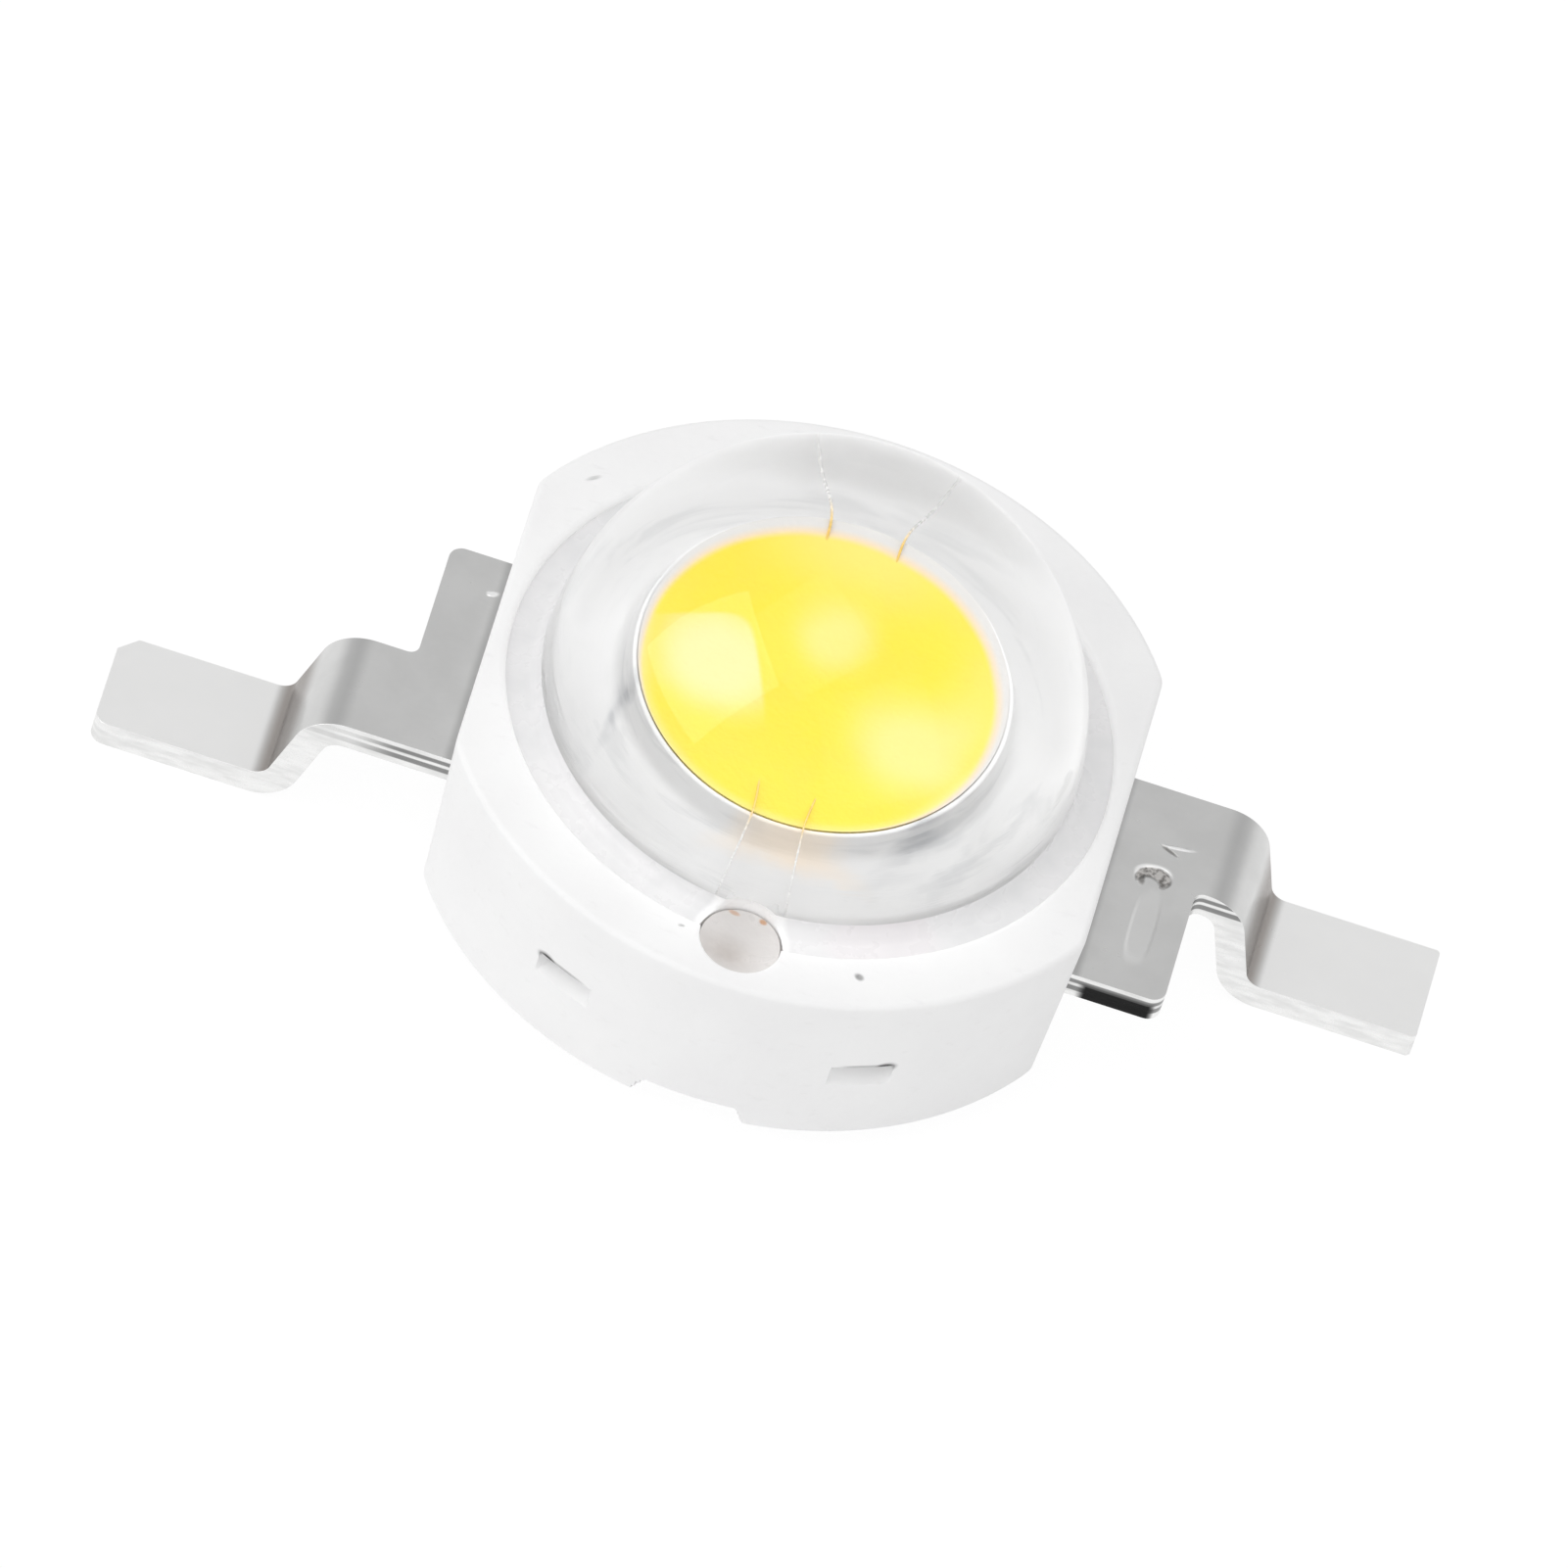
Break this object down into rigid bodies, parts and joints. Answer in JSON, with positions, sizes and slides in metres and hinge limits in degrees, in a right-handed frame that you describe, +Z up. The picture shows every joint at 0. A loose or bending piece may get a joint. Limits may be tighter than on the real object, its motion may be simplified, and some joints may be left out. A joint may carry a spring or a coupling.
{
  "type": "high power led",
  "caption": "Domed high power LED emitter: round white body with side flats, heat slug, phosphor disc under a clear lens, gull-wing leads.",
  "frame": {"origin": "centre of the heat slug's underside, in the seating plane that both solder feet share", "axes": "+Z up out of the lens, +X out along the anode lead, -X out along the cathode lead"},
  "size_m": [0.0144, 0.008, 0.0054],
  "materials": {
    "white_plastic": "moulded, satin",
    "lens_plastic": "clear, polished",
    "clear_gel": "clear gel",
    "plated_copper": "silver plated",
    "plated_lead": "silver plated, satin",
    "phosphor": "yellow phosphor in silicone",
    "chip": "polished crystal",
    "silver_epoxy": "matt grey",
    "gold_wire": "bright gold"
  },
  "bodies": {
    "root": {"heat_slug": "plated_copper", "housing": "white_plastic", "anode_lead": "plated_lead", "cathode_lead": "plated_lead", "lens": "lens_plastic", "silicone_fill": "clear_gel", "phosphor_layer": "phosphor", "led_die": "chip", "die_attach": "silver_epoxy", "anode_bond_wire_1": "gold_wire", "anode_bond_wire_2": "gold_wire", "cathode_bond_wire_1": "gold_wire", "cathode_bond_wire_2": "gold_wire"}
  },
  "joints": []
}
